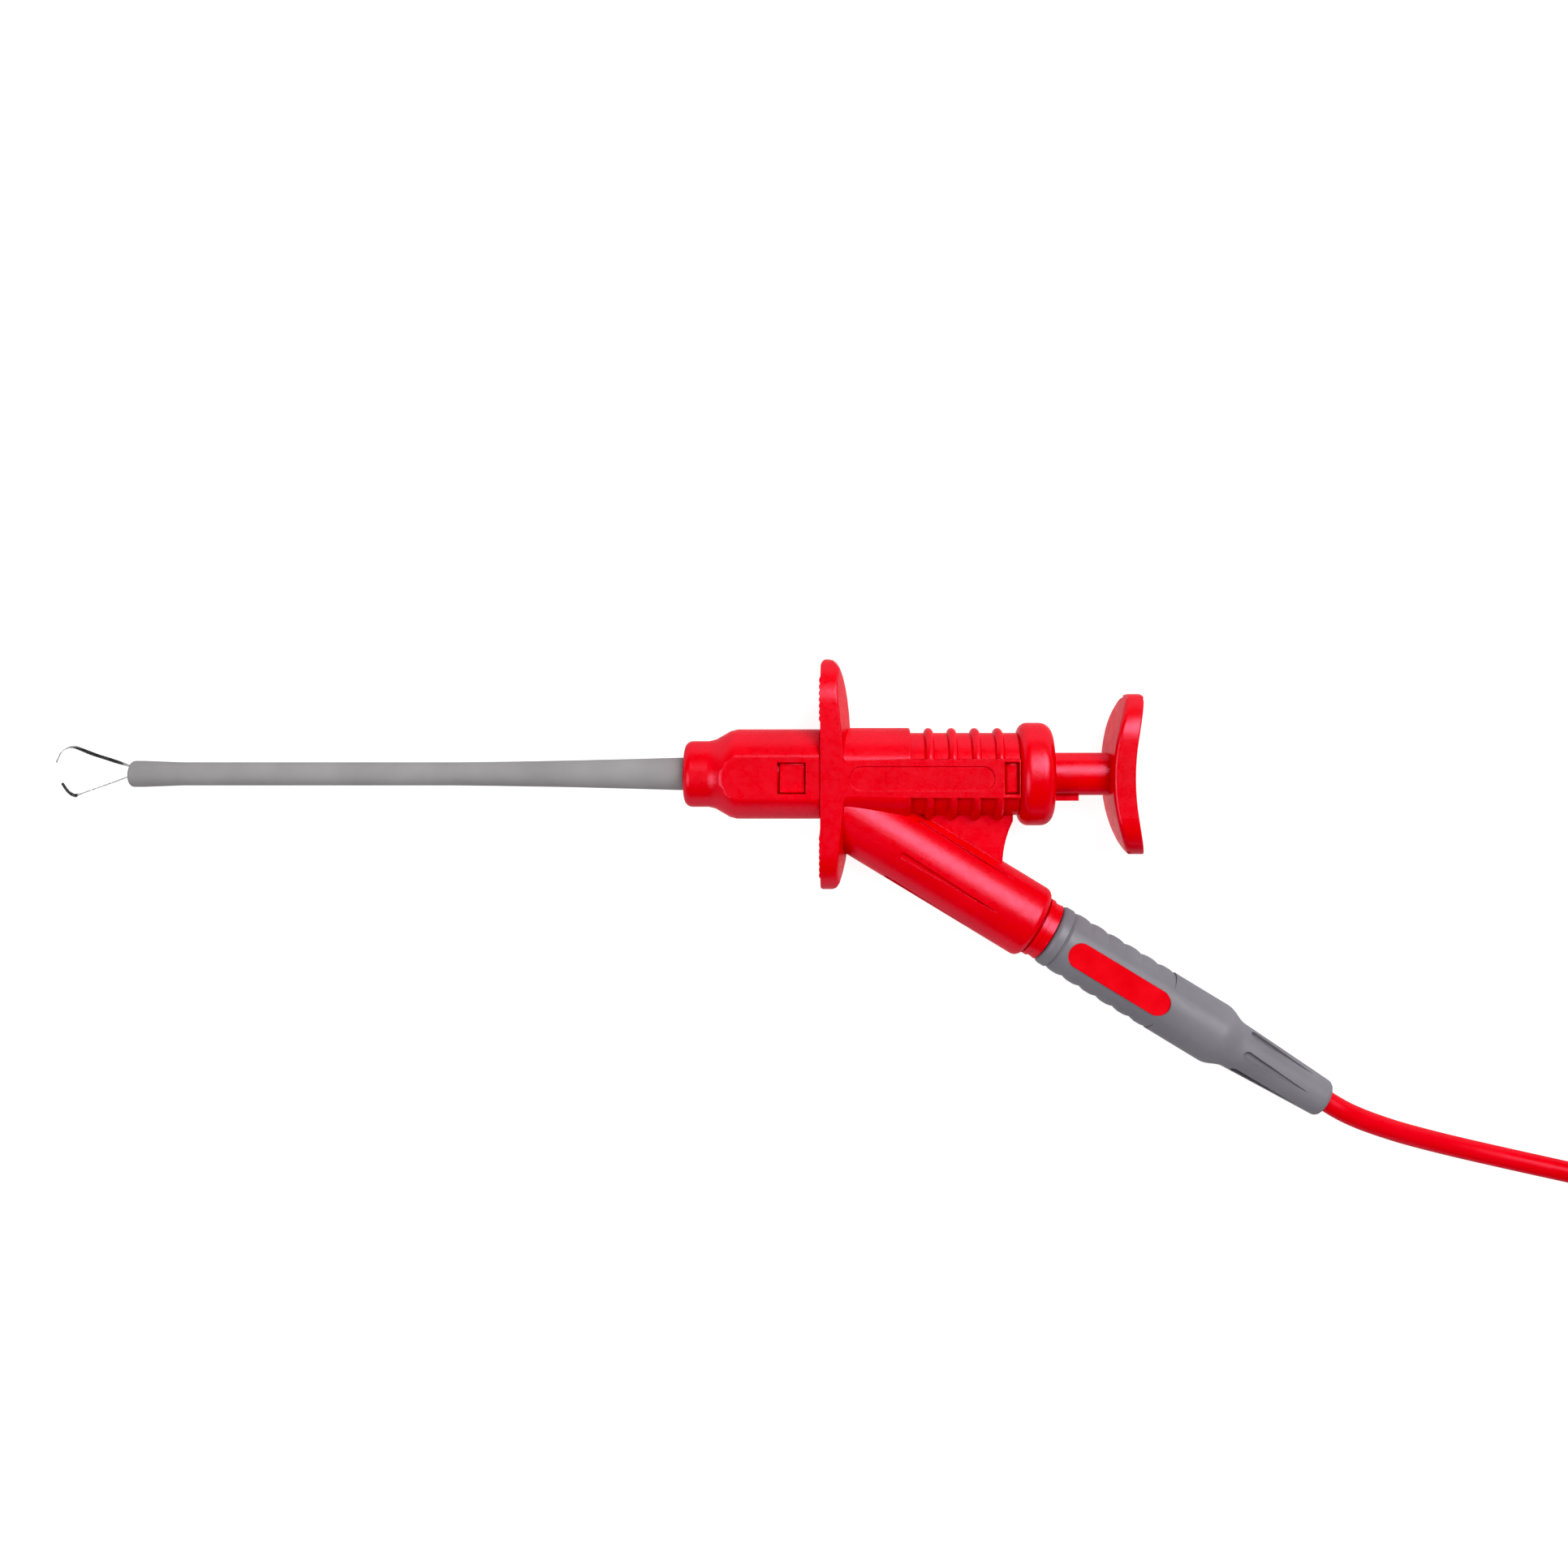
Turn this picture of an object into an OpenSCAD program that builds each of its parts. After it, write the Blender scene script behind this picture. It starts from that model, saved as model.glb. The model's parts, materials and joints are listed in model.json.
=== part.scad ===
// Grabber test hook: a thumb plunger drives two sprung hooks out of a flexible shaft,
// and a test lead plugs into a slanted safety socket on the handle. Millimetres.
// The hook lies on a table: +X along the shaft towards the thumb pad, +Z up from the table.
// Its own parts are drawn about the shaft axis, with x = 0 at the flange's front face.

/* [Shaft sleeve] */
// Length of the sleeve in front of the nose cap
sleeve_len = 85.2; // [70:0.1:110]
// Outside radius along the thin run
sleeve_r = 1.78; // [1.75:0.01:1.95]
// Outside radius at the tip
sleeve_tip_r = 2.0; // [1.95:0.01:2.3]
// Length over which the tip narrows to the thin run
sleeve_tip_len = 8; // [4:0.5:14]
// Outside radius where the sleeve enters the nose cap
sleeve_root_r = 2.5; // [2.2:0.05:3]
// Length of the flare in front of the nose cap
sleeve_flare_len = 36; // [10:1:50]
// Bore radius
sleeve_bore_r = 1.42; // [1.38:0.01:1.5]
// Radius of the countersunk mouth
sleeve_mouth_r = 1.5; // [1.46:0.01:1.6]
// Radius of the collar held inside the nose cap
sleeve_collar_r = 3.6; // [3.2:0.1:4]
// Length of that collar
sleeve_collar_len = 2; // [1.5:0.1:3]

/* [Nose cap] */
// Overall length of the nose cap
nose_len = 20.85; // [19.5:0.05:24]
// Radius of the front ring
nose_ring_r = 5.04; // [4.6:0.01:5.6]
// Length of the front ring
nose_ring_len = 3.7; // [3:0.1:4.5]
// Length of the cone behind the ring
nose_cone_len = 4.4; // [3.5:0.1:5]
// Radius of the barrel
nose_r = 6.85; // [6.6:0.05:7.2]
// Half distance between the two flats
nose_flat = 6.1; // [6:0.05:6.4]
// Rounding of the front edge
nose_round = 1.2; // [0.6:0.1:1.6]
// Gap to the flange
nose_gap = 0.05; // [0.02:0.01:0.3]
// Length of the latch window
window_len = 4.25; // [3:0.05:5]
// Width of the latch window
window_w = 4.75; // [3.5:0.05:5]
// Wall between the window and the cap's rear edge
window_edge = 2.15; // [1.2:0.05:2.5]

/* [Handle] */
// Radius of the barrel
barrel_r = 7.06; // [6.9:0.02:7.3]
// Length of the barrel behind the flange's front face
barrel_len = 30.15; // [29:0.05:34]
// Half distance between the two flats
handle_flat = 6.4; // [6.3:0.05:6.6]
// Width of the flat bands
flat_band_w = 5.8; // [5.4:0.1:6]
// Depth of the grooves between the grip ribs
rib_depth = 0.76; // [0.4:0.02:1]
// Width of a grip rib
rib_w = 1.45; // [1:0.05:2]
// Distance between grip ribs
rib_pitch = 3.55; // [3:0.05:3.8]
// Number of grip ribs
rib_count = 4; // [2:1:4]
// Start of the ribbed stretch
rib_start = 13.7; // [12:0.1:15]
// Radius of the front spigot
spigot_r = 5.2; // [5:0.05:5.4]
// Length of the front spigot
spigot_len = 13.3; // [12:0.1:13.5]
// Radius of the spring chamber
chamber_r = 4.3; // [4.25:0.01:4.4]
// Wall in front of the spring chamber
chamber_wall = 3.6; // [3:0.1:4]
// Radius of the hole that the rod passes
rod_hole_r = 1.0; // [0.8:0.05:1.3]
// Length of the label recess
label_len = 21.9; // [16:0.1:22.5]
// Width of the label recess
label_w = 3.7; // [2.5:0.1:4.5]

/* [Finger flange] */
// Half height of the flange
flange_half_h = 17.66; // [15:0.1:20]
// Thickness at the barrel
flange_t = 3.9; // [3.4:0.1:4.4]
// Thickness at the tips
flange_tip_t = 2.1; // [1.6:0.1:2.8]
// Draft of the rear face: what it gains from its rim to the mould's parting plane
flange_draft = 1.4; // [0.8:0.1:1.6]
// Distance between the finger ridges
ridge_pitch = 0.95; // [0.8:0.05:1.2]
// Ridges on each half
ridge_count = 7; // [4:1:8]
// Height of a finger ridge
ridge_h = 0.2; // [0.1:0.02:0.3]

/* [Socket] */
// Slope of the socket below the shaft axis
socket_angle = 31.25; // [30:0.25:33]
// Outside radius of the socket barrel
socket_r = 5.75; // [5.6:0.05:6.2]
// Distance along the socket axis from the shaft axis to the socket's end
socket_len = 44.6; // [43:0.1:50]
// Place on the shaft axis that the socket axis passes, in front of the flange's face
socket_cross = 5.2; // [4.8:0.1:5.6]
// Radius of the cavity round the contact
cavity_r = 4.3; // [4.25:0.05:4.6]
// Depth of that cavity
cavity_depth = 22; // [20:0.1:22.5]
// Rounding of the socket's end
socket_round = 1.2; // [0.5:0.1:1.3]
// Thickness of the web under the barrel
web_t = 3.2; // [2.4:0.1:6]
// Length of a flute on the socket barrel
flute_len = 16.8; // [10:0.1:18]
// Width of a flute at its blunt end
flute_w = 0.95; // [0.8:0.05:1.8]
// Depth of a flute
flute_depth = 0.35; // [0.2:0.05:0.5]

/* [End cap] */
// Radius of the rounded ring
cap_r = 7.86; // [7.5:0.02:8.4]
// Length of the ring
cap_len = 5.3; // [4.5:0.1:6.5]
// Length of the spigot in the barrel
cap_spigot_len = 4.2; // [4:0.1:4.8]
// Bore radius round the stem
cap_bore_r = 3.35; // [3.33:0.01:3.4]

/* [Thumb plunger] */
// Travel of the plunger
stroke = 6.5; // [5.5:0.1:6.8]
// Stem radius
stem_r = 3.25; // [3:0.01:3.27]
// Stem length that shows when pressed
stem_show = 8.5; // [8.4:0.1:12]
// Width of the key
key_w = 1.5; // [1:0.1:2]
// Reach of the key from the axis
key_r = 4.05; // [3.8:0.05:4.1]
// Key length that shows when pressed
key_show = 4.1; // [2:0.1:6]
// Half height of the thumb pad
pad_half_h = 12.3; // [10:0.1:14]
// Half width of the thumb pad
pad_half_w = 6.4; // [5:0.1:7.2]
// Thickness of the pad in the middle
pad_t = 3.44; // [3:0.02:5]
// Radius of the pad's front
pad_front_r = 28.2; // [24:0.1:40]
// Radius of the pad's hollow
pad_back_r = 37.4; // [34:0.1:60]

/* [Hooks] */
// Angle of the open upper hook to the axis, which is also how far both hooks turn to close
hook_angle = 17.6; // [14:0.1:18]
// Angle of the open lower hook to the axis
lower_angle = 19.6; // [16:0.1:21]
// Crank of the lower hook at the sleeve's mouth
lower_crank = 14.5; // [8:0.5:16]
// Depth of the hinge point behind the sleeve's mouth
hook_root_depth = 3.53; // [3.3:0.01:3.6]
// Thickness of the strip
strip_t = 0.26; // [0.2:0.01:0.28]
// Width of the strip
strip_w = 0.45; // [0.35:0.01:0.46]
// Straight length from the hinge point to the bend
hook_straight = 12.6; // [11.5:0.1:14]
// Radius of the bend
hook_bend_r = 1.7; // [1.2:0.1:2.4]
// Angle of the bend
hook_bend = 75; // [60:1:85]
// Straight end of the upper hook
upper_end = 1.9; // [1:0.1:2.4]
// Straight end of the lower hook
lower_end = 1.5; // [1:0.1:2.4]

/* [Rod and contacts] */
// Radius of the pull rod
rod_r = 0.6; // [0.5:0.02:0.62]
// Radius of the crimped collar in the plunger
crimp_r = 1.2; // [1:0.05:1.6]
// Length of the crimped collar
crimp_len = 4; // [2.5:0.1:5]
// Radius of the fork that holds the hooks
ferrule_r = 1.15; // [1.08:0.01:1.2]
// Length of the fork
ferrule_len = 4.5; // [3.5:0.1:6]
// Radius of the contact bush
bush_r = 2.0; // [1.8:0.05:2.2]
// Radius of the contact wire
wire_r = 0.6; // [0.4:0.02:0.65]
// Radius of the socket's contact sleeve
contact_r = 2.95; // [2.7:0.05:3]
// Bore of that sleeve
contact_bore_r = 2.05; // [2.04:0.01:2.1]
// Wire radius of the return spring
spring_wire_r = 0.3; // [0.2:0.02:0.35]
// Turns of the return spring
spring_turns = 9; // [6:0.5:11]

/* [Safety plug] */
// Radius of the plug's pin
pin_r = 1.95; // [1.9:0.01:1.97]
// Length of the pin in front of the shroud's floor
pin_len = 19; // [17:0.1:19.4]
// Outside radius of the shroud
shroud_r = 4.15; // [4:0.01:4.2]
// Bore of the shroud
shroud_bore_r = 3.15; // [3.1:0.01:3.3]
// Plug collar that shows in front of the socket
collar_show = 2.5; // [2:0.1:4]
// Radius of the collar's lip
lip_r = 4.72; // [4.5:0.02:5]
// Radius of the collar's groove
groove_r = 4.5; // [4.3:0.02:4.6]
// Radius of the grip
grip_r = 4.81; // [4.6:0.01:5.4]
// Length of the thick part of the grip
grip_len = 29.6; // [27:0.1:34]
// Length of the cone behind it
grip_cone_len = 3.8; // [3:0.1:6]
// Radius where the strain relief starts
relief_r = 3.69; // [3.4:0.01:4]
// Radius at the strain relief's end
relief_end_r = 2.94; // [2.6:0.01:3.2]
// Length of the strain relief
relief_len = 16.1; // [12:0.1:20]
// Finger bumps on each side of the grip
scallop_count = 6; // [3:1:7]
// Length of a finger bump
scallop_pitch = 3.0; // [2.4:0.1:3.2]
// Height of a finger bump
scallop_h = 0.28; // [0.1:0.02:0.4]
// Length of the coloured inlay
inlay_len = 17.5; // [12:0.1:18.5]
// Width of the coloured inlay
inlay_w = 3.95; // [3:0.05:4.4]

/* [Test lead] */
// Diameter of the cord
cord_d = 3.3; // [3:0.1:3.6]
// Thickness of the coil's tie
tie_t = 0.6; // [0.4:0.1:1]
// Width of the coil's tie
tie_w = 8; // [5:0.5:12]

/* [Hidden] */
$fn = 64;
RED = [0.90, 0.03, 0.07];
GREY = [0.55, 0.54, 0.56];
PURPLE_GREY = [0.48, 0.46, 0.50];
STEEL = [0.62, 0.63, 0.65];
BRASS = [0.78, 0.62, 0.30];
// Clearance of a push fit, of a sliding fit and of parts that pass each other, per side
push = 0.03;
slide = 0.06;
pass = 0.1;
// Longer than any part, for cuts that run right through
far = 200;

// Places along the shaft axis
nose_rear = -nose_gap;
nose_front = nose_rear - nose_len;
mouth_x = nose_front - sleeve_len;
spigot_front = -spigot_len;
collar_front = spigot_front - pass - sleeve_collar_len;
window_rear = nose_rear - window_edge;
cap_gap = 0.05;
cap_front = barrel_len + cap_gap;
cap_rear = cap_front + cap_len;
cap_spigot_front = cap_front - cap_spigot_len;
cap_spigot_r = 4.9;
seat_front = cap_spigot_front - 0.2;
pad_front = cap_rear + stem_show;
head_len = 2.5;
head_rear = cap_spigot_front - 0.2 - stroke;
head_front = head_rear - head_len;
head_r = chamber_r - pass;
rod_rear = head_front + 5.5;
spring_r = chamber_r - 2 * pass - spring_wire_r;
hinge_x = mouth_x + hook_root_depth;
root_r = ferrule_r - 0.7;
bush_front = spigot_front + 0.8;
bush_rear = -0.6;
slot_len = 2.1;
slot_front = barrel_len - 0.25 - slot_len;
slot_w = 4.8;

// Places along the socket axis
cavity_floor = socket_len - cavity_depth;
contact_front = cavity_floor - 5;
contact_end = socket_len - 2;
grip_front = socket_len + collar_show;
shroud_end = cavity_floor + 0.5;
shroud_floor = grip_front - 1.5;
pin_tip = shroud_floor - pin_len;
pin_root = grip_front + 10;
pin_root_r = pin_r - 0.35;
core_r = 3.6;
core_len = grip_len - 4;
cord_start = 8;

// Extreme points of the hook, which set its place on the table
function turn(p, a) = [p[0] * cos(a) - p[1] * sin(a), p[0] * sin(a) + p[1] * cos(a)];
function bend_end(straight, end) = [
    -straight - hook_bend_r * sin(hook_bend) - end * cos(hook_bend),
    -hook_bend_r * (1 - cos(hook_bend)) - end * sin(hook_bend)];
hook_tip_x = hinge_x + turn(bend_end(hook_straight, upper_end), -hook_angle)[0];

// Upper half of the pad's outline: front, front corner of the tip, rear corner, hollow back
pad_tip_y = pad_half_h + 0.02;
pad_front_tip = 0.9;
pad_rear_tip = 0.4;
pad_front_lean = asin((pad_tip_y - pad_front_tip) / (pad_front_r - pad_front_tip));
pad_rear_lean = asin((pad_tip_y - pad_rear_tip) / (pad_back_r + pad_rear_tip));
pad_rear_tip_x = pad_front + pad_t + pad_back_r - (pad_back_r + pad_rear_tip) * cos(pad_rear_lean);
pad_rear = pad_rear_tip_x + pad_rear_tip;
pad_side = concat(
    arc([pad_front + pad_front_r, 0], pad_front_r, 180, 180 - pad_front_lean, 10),
    arc([pad_front + pad_front_r - (pad_front_r - pad_front_tip) * cos(pad_front_lean), pad_tip_y - pad_front_tip],
        pad_front_tip, 157.5 - 0.75 * pad_front_lean, 90, 3),
    arc([pad_rear_tip_x, pad_tip_y - pad_rear_tip], pad_rear_tip, 90, -pad_rear_lean, 5),
    arc([pad_front + pad_t + pad_back_r, 0], pad_back_r, 180 - 0.875 * pad_rear_lean, 180, 7));
socket_low = (socket_len - socket_round) * sin(socket_angle)
    + (socket_r - socket_round) * cos(socket_angle) + socket_round;
origin = [-(hook_tip_x + pad_rear) / 2, (socket_low - flange_half_h) / 2, cap_r];

// Route of the cord on the table: from the plug's strain relief to the coil, and from the coil to
// the far plug. Heights are those of the cord's middle.
cord_r = cord_d / 2;
lead_points = [[116.8, -48.1, 7.35], [119.8, -49.4, 6.6], [123, -50.7, 5.55], [126.6, -52.05, 4.25],
    [130.2, -53.25, 3.2], [134.2, -54.45, 2.35], [138.6, -55.6, 1.85], [142.8, -56.6, 1.65],
    [150.5, -58.3, 1.65], [158.5, -60, 1.7], [166.5, -61.4, 1.85], [175, -62.25, 2.1]];
coil_middle = [184, -38.5];
coil_turn_r = 24;
coil_inner_r = 11.2;
tail_points = [[208, -26, 5.4], [208, -18, 4.4], [208, -10, 3], [208, -4, 2.2], [208, 2, 1.8],
    [209.2, 6.6, 1.7], [212.6, 9.9, 1.7], [217, 11, 1.8], [221.4, 9.9, 2.4], [224.8, 6.6, 3.4]];
far_plug_tail = [226, 0];
tie_angle = 135;

// Basic shapes

function arc(c, r, from, to, n = 8) = [for (i = [0 : n])
    let (a = from + (to - from) * i / n) [c[0] + r * cos(a), c[1] + r * sin(a)]];

// Solid of revolution about X: points are [place along X, radius]
module turned(points) {
    rotate([0, 90, 0])
        rotate_extrude()
            polygon([for (p = points) [p[1], p[0]]]);
}

module rod_x(from, to, r) {
    translate([from, 0, 0])
        rotate([0, 90, 0])
            cylinder(r = r, h = to - from);
}

module block(low, high) {
    translate(low)
        cube(high - low);
}

// Flat shape with round ends, along X
module obround(from, to, w) {
    translate([from + w / 2, -w / 2])
        square([to - from - w, w]);
    for (x = [from + w / 2, to - w / 2])
        translate([x, 0])
            circle(d = w);
}

// Stadium in the YZ plane, extruded along X
module upright_stadium(from, to, half_h, half_w) {
    translate([from, 0, 0])
        rotate([0, 90, 0])
            linear_extrude(to - from)
                rotate(90)
                    obround(-half_h, half_h, 2 * half_w);
}

// Frames in which parts are drawn

module hook_frame() {
    translate(origin)
        children();
}

module socket_frame() {
    translate([-socket_cross, 0, 0])
        rotate(-socket_angle)
            children();
}

plug_total = grip_front + grip_len + grip_cone_len + relief_len;

module far_plug_frame() {
    translate([far_plug_tail[0], far_plug_tail[1], grip_r])
        rotate(90)
            translate([-plug_total, 0, 0])
                children();
}

// Handle

module barrel() {
    step_round = 0.35;
    floor_r = barrel_r - rib_depth;
    first_rib = rib_start + rib_pitch - rib_w / 2;
    intersection() {
        union() {
            turned(concat([[0, 0], [0, barrel_r]],
                arc([rib_start - step_round, barrel_r - step_round], step_round, 90, 0, 3),
                [[rib_start, floor_r]],
                [for (i = [0 : rib_count - 1]) each rib_points(first_rib + i * rib_pitch, floor_r)],
                [[barrel_len, floor_r], [barrel_len, 0]]));
            intersection() {
                rod_x(0, barrel_len, barrel_r);
                block([-far, -flat_band_w / 2, -far], [far, flat_band_w / 2, far]);
            }
        }
        block([-far, -far, -handle_flat], [far, far, handle_flat]);
    }
}

// Half-round profile of one grip rib
function rib_points(middle, floor_r) = [for (a = [180 : -30 : 0])
    [middle + rib_w / 2 * cos(a), floor_r + rib_depth * sin(a)]];

// Flange: a flat front with finger ridges, and a rear face that is crowned towards the parting plane and
// comes closer to the front at the tips
module flange() {
    intersection() {
        upright_stadium(-ridge_h, flange_t + flange_draft, flange_half_h, handle_flat);
        union() {
            linear_extrude(2 * handle_flat, center = true)
                polygon(flange_outline());
            finger_ridges();
        }
        difference() {
            block([-1, -far, -far], [far, far, far]);
            for (turn = [0, 180])
                rotate([turn, 0, 0]) {
                    behind_quarter();
                    mirror([0, 1, 0])
                        behind_quarter();
                }
        }
    }
}

// Outline at the parting plane: round front corners, and a superellipse behind
function flange_outline() =
    let (h = flange_half_h, front_round = 0.9, tip = 1, bulge = flange_t + 0.75 - tip, power = 0.8)
    concat([for (t = [-90 : 9 : 90]) [tip + bulge * pow(cos(t), power), h * sign(t) * pow(abs(sin(t)), power)]],
        arc([front_round, h - front_round], front_round, 90, 180, 4),
        arc([front_round, front_round - h], front_round, 180, 270, 4));

// Space behind one quarter of the flange's rear face
module behind_quarter() {
    taper = atan((flange_t - flange_tip_t) / flange_half_h);
    draft = atan(flange_draft / handle_flat);
    translate([flange_t, 0, handle_flat])
        rotate([0, -draft, taper])
            block([0, -far, -far], [far, far, far]);
}

// Half-round ridges across the front of both halves of the flange
module finger_ridges() {
    ridge_r = (pow(ridge_pitch / 2, 2) + pow(ridge_h, 2)) / (2 * ridge_h);
    first_y = flange_half_h - 2.95;
    for (side = [-1, 1], i = [0 : ridge_count - 1])
        translate([ridge_r - ridge_h, side * (first_y - i * ridge_pitch), 0])
            cylinder(r = ridge_r, h = 2 * handle_flat, center = true);
}

module socket_barrel() {
    intersection() {
        socket_frame()
            difference() {
                turned(concat([[0, 0], [0, socket_r]],
                    arc([socket_len - socket_round, socket_r - socket_round], socket_round, 90, 0, 5),
                    [[socket_len, 0]]));
                flutes();
            }
        block([flange_tip_t / 2, -far, -far], [far, far, far]);
    }
}

// Tapering grooves along the socket barrel, on both its upper and its lower side
module flutes() {
    start = socket_len - 23.4;
    for (a = [-52, 8, 68, 112, 172, 232])
        rotate([a, 0, 0])
            translate([start, 0, socket_r - flute_depth])
                linear_extrude(far) {
                    circle(d = flute_w);
                    polygon([[0, -flute_w / 2], [flute_len, 0], [0, flute_w / 2]]);
                }
}

// Web between barrel and socket, with a hollow rear edge
module web() {
    edge_top = [barrel_len - 0.7, -barrel_r];
    edge_r = 15.3;
    edge_chord = 6.9;
    edge_lean = 13.4;
    edge_way = sqrt(pow(edge_r, 2) - pow(edge_chord / 2, 2));
    socket_y = -(edge_top[0] + socket_cross) * tan(socket_angle);
    linear_extrude(web_t, center = true)
        difference() {
            polygon([[0, 0], [edge_top[0], 0], [edge_top[0], socket_y], [0, -socket_cross * tan(socket_angle)]]);
            translate(edge_top)
                rotate(-edge_lean)
                    translate([edge_way, -edge_chord / 2])
                        circle(r = edge_r);
        }
}

// Bores along the shaft axis
module handle_bores() {
    rod_x(spigot_front - 1, bush_rear + pass, bush_r + push);
    rod_x(bush_rear, chamber_wall + 1, rod_hole_r);
    rod_x(chamber_wall, barrel_len, chamber_r);
    rod_x(seat_front, barrel_len + 1, cap_spigot_r + slide);
}

// Bores along the socket axis
module socket_bores() {
    socket_frame() {
        rod_x(cavity_floor, socket_len + 1, cavity_r);
        rod_x(contact_front - pass, cavity_floor + 1, contact_r + push);
        rod_x(0, contact_front, wire_r + slide);
    }
}

// Latch tabs that show in the nose cap's windows
module latch_tabs() {
    tab_h = nose_flat - 0.35;
    block([window_rear - window_len + 0.25, -window_w / 2 + pass, -tab_h],
        [window_rear - pass, window_w / 2 - pass, tab_h]);
}

// Slots in the flats for the end cap's tabs
module rear_slots() {
    block([slot_front, -slot_w / 2, -far], [slot_front + slot_len, slot_w / 2, far]);
}

module label_recesses() {
    depth = 0.2;
    start = flange_t + 0.5;
    for (side = [0, 180])
        rotate([side, 0, 0])
            translate([0, 0, handle_flat - depth])
                linear_extrude(1)
                    obround(start, start + label_len, label_w);
}

module handle_body() {
    color(RED)
        hook_frame()
            difference() {
                union() {
                    barrel();
                    flange();
                    socket_barrel();
                    web();
                    rod_x(spigot_front, 1, spigot_r);
                    latch_tabs();
                }
                handle_bores();
                socket_bores();
                rear_slots();
                label_recesses();
            }
}

module nose_cap() {
    ring_end = nose_front + nose_ring_len;
    cone_end = ring_end + nose_cone_len;
    blend = 0.25 * nose_cone_len;
    step = 0.15 * (nose_r - nose_ring_r);
    sleeve_hole_r = sleeve_root_r + slide;
    collar_hole_r = sleeve_collar_r + pass;
    cavity = spigot_r + pass;
    color(RED)
        hook_frame()
            difference() {
                intersection() {
                    turned(concat([[nose_front, sleeve_hole_r]],
                        arc([nose_front + nose_round, nose_ring_r - nose_round], nose_round, 180, 90, 6),
                        [[ring_end, nose_ring_r], [ring_end + blend, nose_ring_r + step],
                        [cone_end - blend, nose_r - step], [cone_end, nose_r],
                        [nose_rear - 0.1, nose_r], [nose_rear, nose_r - 0.1], [nose_rear, cavity],
                        [spigot_front - pass, cavity], [spigot_front - pass, collar_hole_r],
                        [collar_front - pass, collar_hole_r], [collar_front - pass, sleeve_hole_r]]));
                    block([-far, -far, -nose_flat], [far, far, nose_flat]);
                }
                block([window_rear - window_len, -window_w / 2, -far], [window_rear, window_w / 2, far]);
            }
}

module end_cap() {
    front_round = 1.5;
    rear_round = 1.9;
    tab_h = handle_flat - 0.5;
    color(RED)
        hook_frame()
            difference() {
                union() {
                    turned(concat([[cap_front, cap_bore_r]],
                        arc([cap_front + front_round, cap_r - front_round], front_round, 180, 90, 6),
                        arc([cap_rear - rear_round, cap_r - rear_round], rear_round, 90, 0, 6),
                        [[cap_rear, cap_bore_r]]));
                    rod_x(cap_spigot_front, cap_front + 1, cap_spigot_r);
                    block([slot_front + pass, -slot_w / 2 + pass, -tab_h],
                        [slot_front + slot_len - pass, slot_w / 2 - pass, tab_h]);
                }
                rod_x(cap_spigot_front - 1, cap_rear + 1, cap_bore_r);
                block([cap_spigot_front - 1, -key_r - slide, -key_w / 2 - slide],
                    [cap_rear + 1, 0, key_w / 2 + slide]);
            }
}

module shaft_sleeve() {
    tip_round = sleeve_tip_r - sleeve_mouth_r;
    flare_start = nose_front - sleeve_flare_len;
    flare_rise = sleeve_root_r - sleeve_r;
    color(GREY)
        hook_frame()
            turned(concat([[mouth_x, sleeve_mouth_r]],
                arc([mouth_x + tip_round, sleeve_mouth_r], tip_round, 180, 90, 5),
                [[mouth_x + sleeve_tip_len / 4, sleeve_tip_r], [mouth_x + sleeve_tip_len, sleeve_r]],
                [for (i = [0 : 5]) [flare_start + sleeve_flare_len * i / 5,
                    sleeve_r + flare_rise * pow(i / 5, 1.4)]],
                [[collar_front, sleeve_root_r], [collar_front, sleeve_collar_r],
                [collar_front + sleeve_collar_len, sleeve_collar_r],
                [collar_front + sleeve_collar_len, sleeve_bore_r], [mouth_x + 1, sleeve_bore_r]]));
}

// Compression spring, pressed between the chamber's wall and the plunger's head
module return_spring() {
    sides = 6;
    steps = 16;
    from = chamber_wall + spring_wire_r + pass;
    to = head_front - spring_wire_r - pass;
    rings = spring_turns * steps;
    color(STEEL)
        hook_frame()
            rings_skin([for (i = [0 : rings])
                let (a = 360 * i / steps, x = from + (to - from) * i / rings)
                [for (k = [0 : sides - 1])
                    let (b = 360 * k / sides, r = spring_r + spring_wire_r * cos(b))
                    [x + spring_wire_r * sin(b), r * cos(a), r * sin(a)]]]);
}

// Closed skin over rings of points
module rings_skin(rings) {
    n = len(rings[0]);
    last = len(rings) - 1;
    polyhedron(
        points = [for (ring = rings) each ring],
        faces = concat(
            [[for (k = [n - 1 : -1 : 0]) k]],
            [for (i = [0 : last - 1], k = [0 : n - 1])
                let (a = i * n + k, b = i * n + (k + 1) % n) [a, b, b + n, a + n]],
            [[for (k = [0 : n - 1]) last * n + k]]),
        convexity = 10);
}

// Contacts inside the handle

module contact_bush() {
    color(BRASS)
        hook_frame()
            difference() {
                rod_x(bush_front, bush_rear, bush_r);
                rod_x(bush_front - 1, bush_rear + 1, rod_r + slide);
                socket_frame()
                    rod_x(2 * rod_r, far, wire_r + push);
            }
}

module contact_wire() {
    color(BRASS)
        hook_frame()
            socket_frame()
                rod_x(3 * rod_r + slide, contact_front + 1.5, wire_r);
}

module socket_contact() {
    bore_start = contact_front + 3;
    color(BRASS)
        hook_frame()
            socket_frame()
                difference() {
                    rod_x(contact_front, contact_end, contact_r);
                    rod_x(bore_start, contact_end + 1, contact_bore_r);
                    rod_x(contact_front - 1, bore_start + 1, wire_r + push);
                }
}

// Plunger, rod and hooks

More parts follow.
